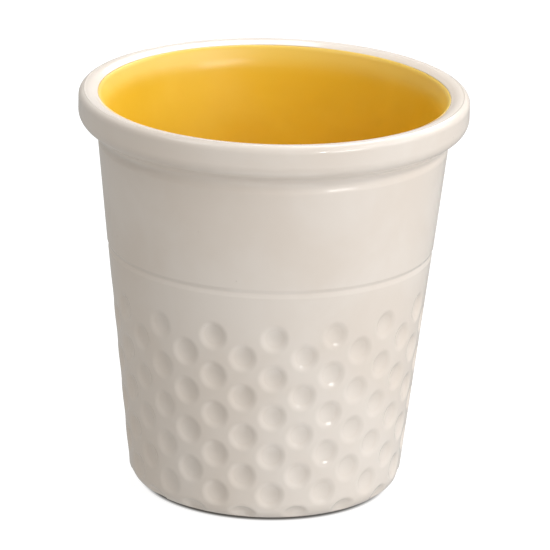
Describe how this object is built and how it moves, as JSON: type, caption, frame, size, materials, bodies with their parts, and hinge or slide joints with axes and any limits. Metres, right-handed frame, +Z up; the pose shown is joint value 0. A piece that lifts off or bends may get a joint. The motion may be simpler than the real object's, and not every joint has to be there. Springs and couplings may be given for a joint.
{
  "type": "yarn bowl",
  "caption": "Thimble-shaped glazed stoneware yarn bowl: rolled lip, smooth upper wall, dimpled lower half, off-white outside and yellow lining.",
  "frame": {"origin": "centre of the foot ring's resting plane", "axes": "+Z up along the bowl's axis; -Y is the side that faces the viewer; +X to the viewer's right"},
  "size_m": [0.15, 0.15, 0.1576],
  "materials": {
    "stoneware": "bare fired stoneware, matt and slightly gritty, seen only on the foot ring",
    "white_glaze": "off-white gloss glaze, pooled a little in the dimples and thin over their edges",
    "yellow_glaze": "warm yellow gloss glaze lining the inside"
  },
  "bodies": {
    "root": {"clay_body": "stoneware", "exterior_glaze": "white_glaze", "interior_glaze": "yellow_glaze"}
  },
  "joints": []
}
